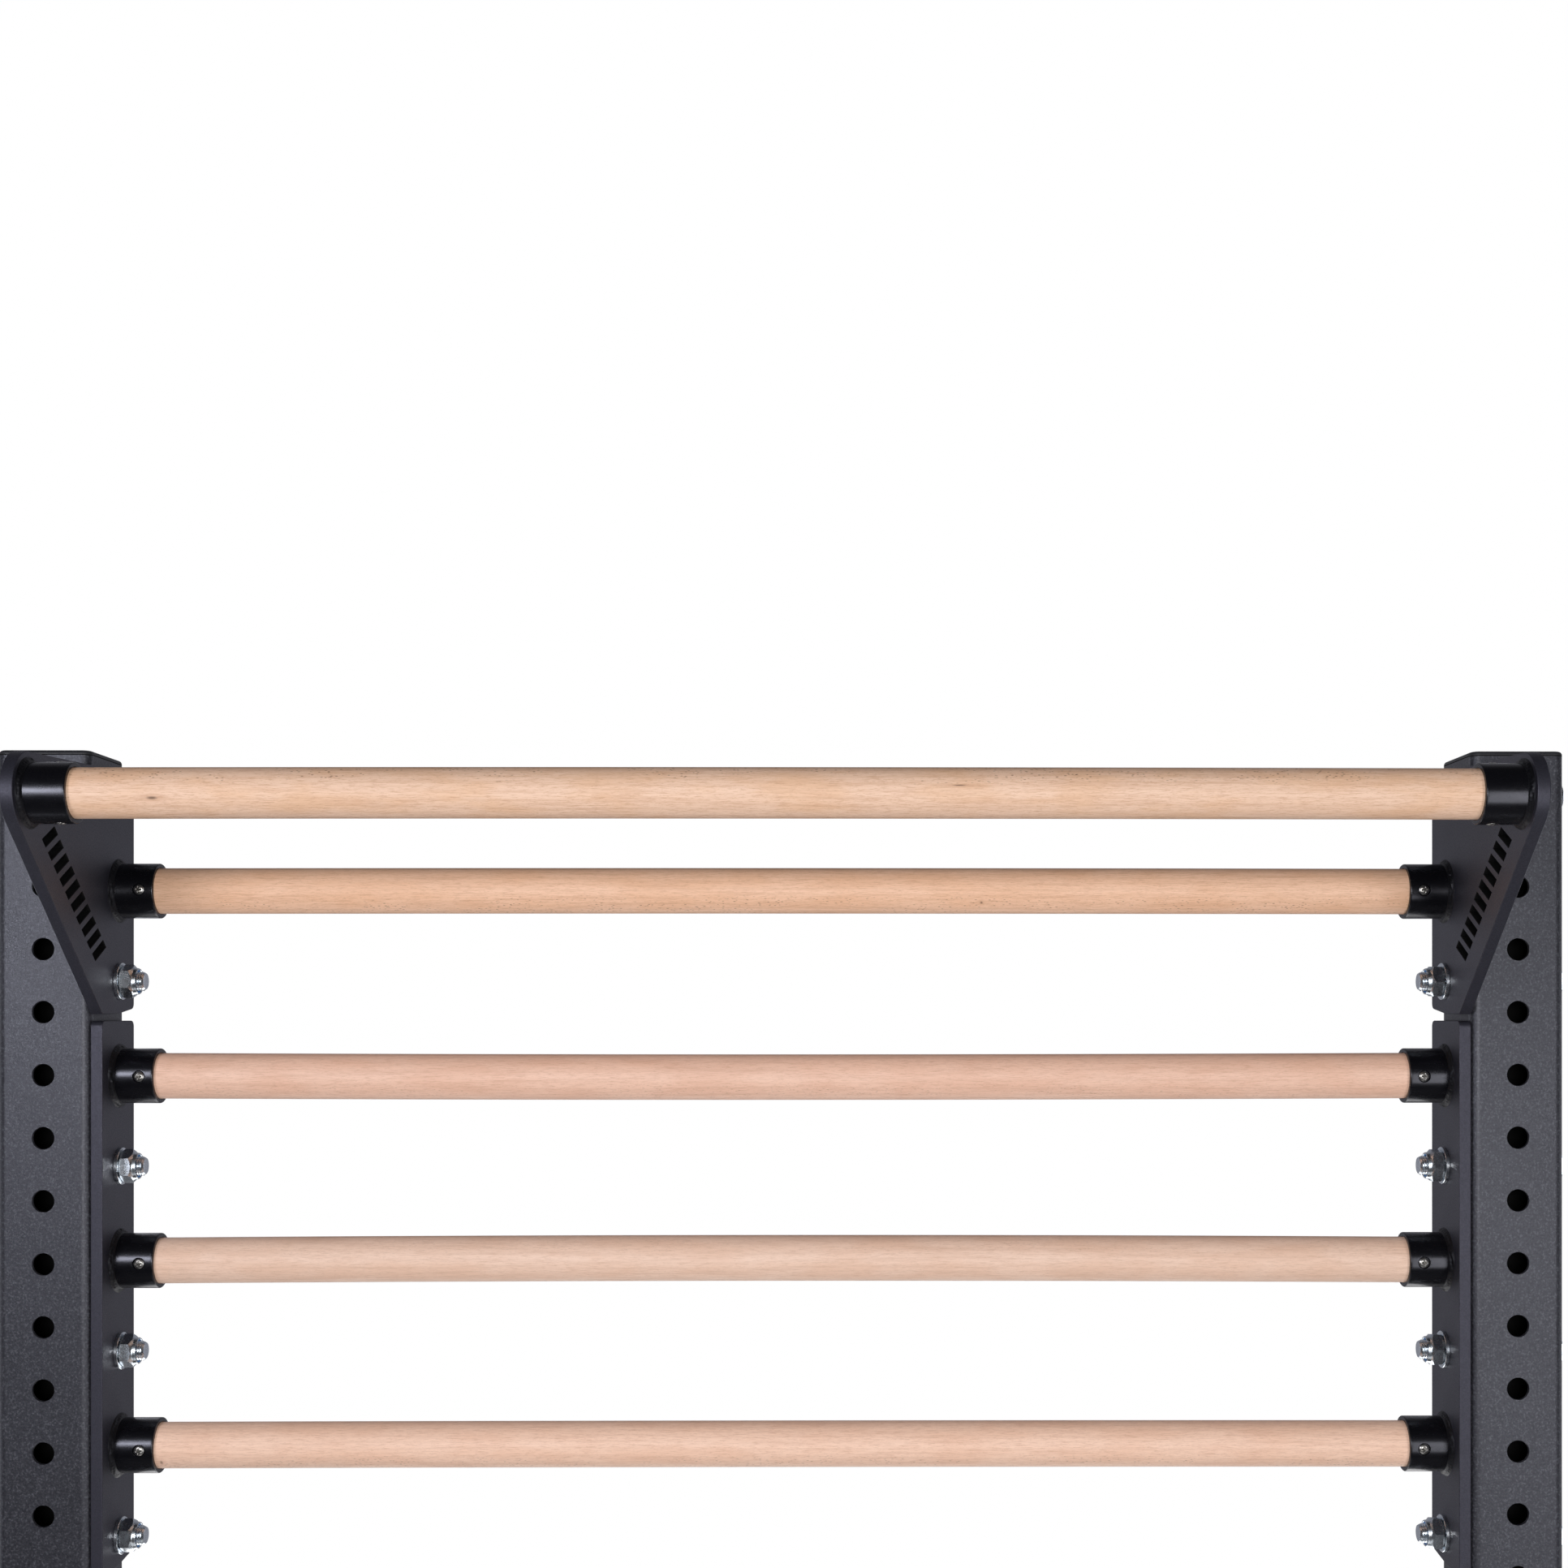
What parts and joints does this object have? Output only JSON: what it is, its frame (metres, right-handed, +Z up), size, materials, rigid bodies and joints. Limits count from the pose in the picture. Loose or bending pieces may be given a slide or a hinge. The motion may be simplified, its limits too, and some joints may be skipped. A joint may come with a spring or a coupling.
{
  "type": "pull up bar",
  "caption": "Freestanding pull-up station: wooden grip bar on forward brackets and a ladder of wooden wall-bar rungs between perforated black square uprights on floor plates.",
  "frame": {"origin": "on the floor, midway between the two uprights and midway between the front of the bracket noses and the back of the base plates", "axes": "+Z up along the uprights, +X to the user's right along the bars, -Y towards the user, where the pull-up bar reaches forward"},
  "size_m": [1.332, 0.31, 2.25],
  "materials": {
    "wrinkle_coat": "fine-wrinkle charcoal powder coat",
    "plate_coat": "smooth satin charcoal powder coat",
    "satin_black": "satin black powder coat over welded steel",
    "beech_wood": "sanded beech, thin matt oil",
    "zinc": "bright zinc plating, slightly blue",
    "locking_ring": "blue nylon",
    "cap_plastic": "black moulded plastic"
  },
  "bodies": {
    "root": {"left_bar_screws": "zinc", "left_bar_socket": "satin_black", "left_bar_weld": "satin_black", "left_base_plate": "wrinkle_coat", "left_base_weld": "wrinkle_coat", "left_bolts": "zinc", "left_lock_nuts": "zinc", "left_lower_side_plate": "plate_coat", "left_nut_inserts": "locking_ring", "left_rung_screws": "zinc", "left_rung_socket_1": "satin_black", "left_rung_socket_2": "satin_black", "left_rung_socket_3": "satin_black", "left_rung_socket_4": "satin_black", "left_rung_welds": "satin_black", "left_top_cap": "cap_plastic", "left_upper_bracket": "plate_coat", "left_upright": "wrinkle_coat", "left_washers": "zinc", "pull_up_bar": "beech_wood", "right_bar_screws": "zinc", "right_bar_socket": "satin_black", "right_bar_weld": "satin_black", "right_base_plate": "wrinkle_coat", "right_base_weld": "wrinkle_coat", "right_bolts": "zinc", "right_lock_nuts": "zinc", "right_lower_side_plate": "plate_coat", "right_nut_inserts": "locking_ring", "right_rung_screws": "zinc", "right_rung_socket_1": "satin_black", "right_rung_socket_2": "satin_black", "right_rung_socket_3": "satin_black", "right_rung_socket_4": "satin_black", "right_rung_welds": "satin_black", "right_top_cap": "cap_plastic", "right_upper_bracket": "plate_coat", "right_upright": "wrinkle_coat", "right_washers": "zinc", "rung_1": "beech_wood", "rung_2": "beech_wood", "rung_3": "beech_wood", "rung_4": "beech_wood"}
  },
  "joints": []
}
